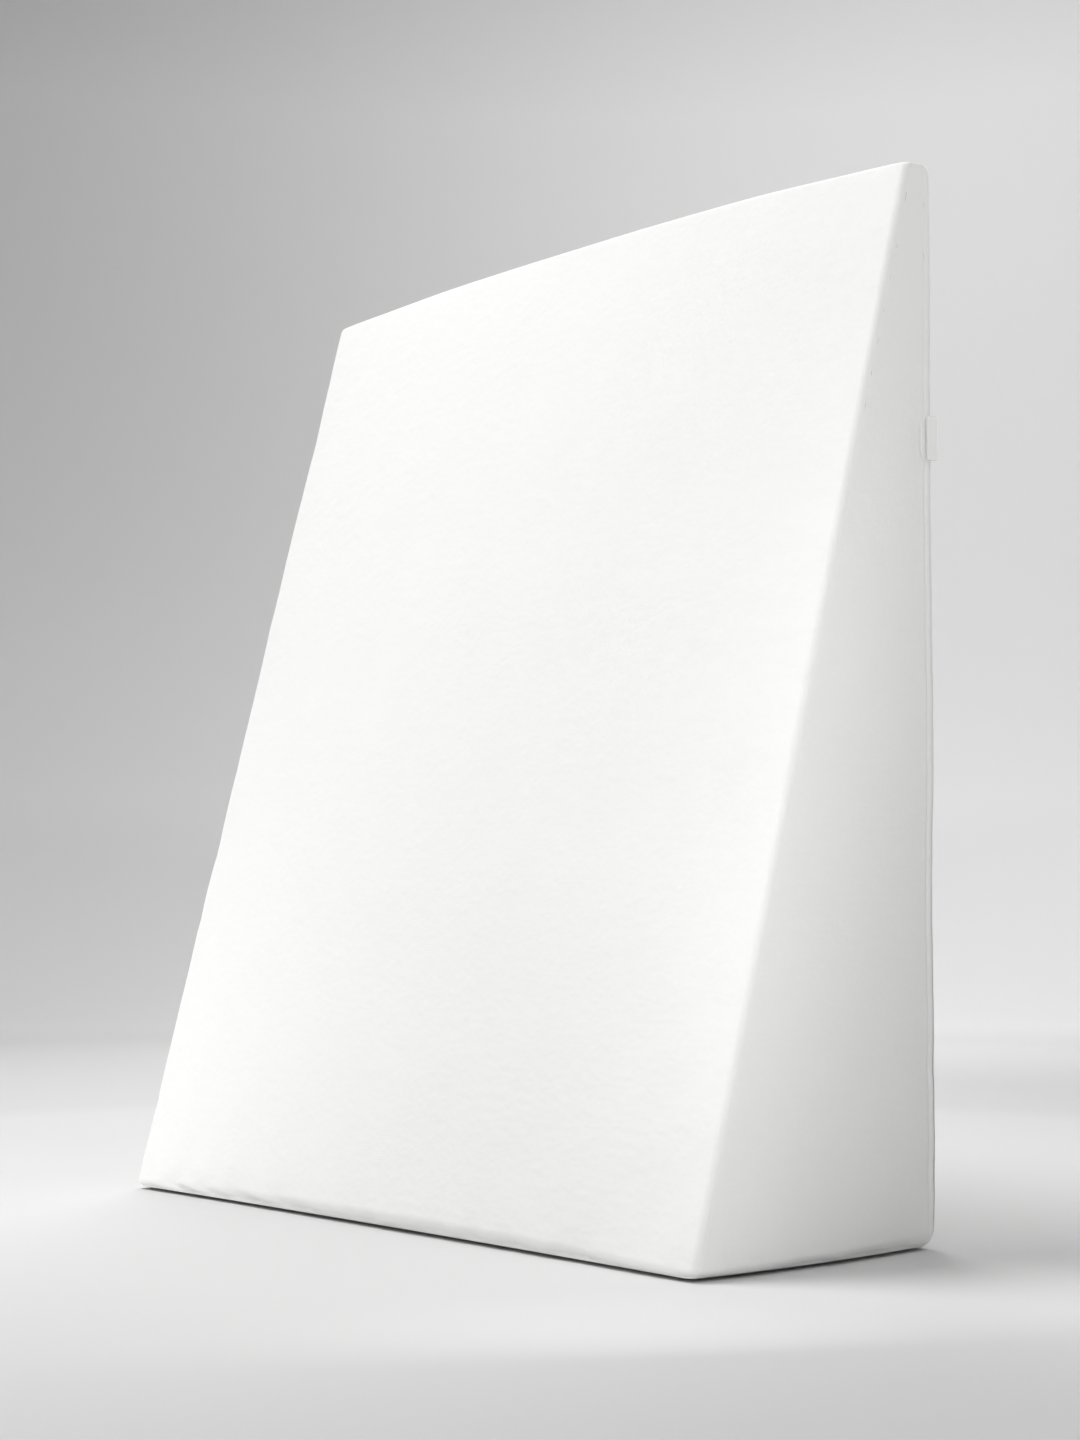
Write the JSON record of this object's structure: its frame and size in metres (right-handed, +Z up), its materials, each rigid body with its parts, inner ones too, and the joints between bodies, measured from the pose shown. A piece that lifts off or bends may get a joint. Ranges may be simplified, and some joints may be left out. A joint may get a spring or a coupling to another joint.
{
  "type": "wedge pillow",
  "caption": "Wedge-shaped foam pillow in a snug white cover, standing upright on its thick end, with a small blank folded label in one rear seam.",
  "frame": {"origin": "on the floor, under the middle of the thick end", "axes": "+Z up from the thick end to the thin top edge, +Y towards the upright back, -Y towards the sloping face, +X towards the side with the label"},
  "size_m": [0.6256, 0.2223, 0.696],
  "materials": {
    "cover_cloth": "fine matte white knit",
    "label_tape": "smooth off-white tape"
  },
  "bodies": {
    "root": {"wedge_pillow": "cover_cloth", "side_label": "label_tape"}
  },
  "joints": []
}
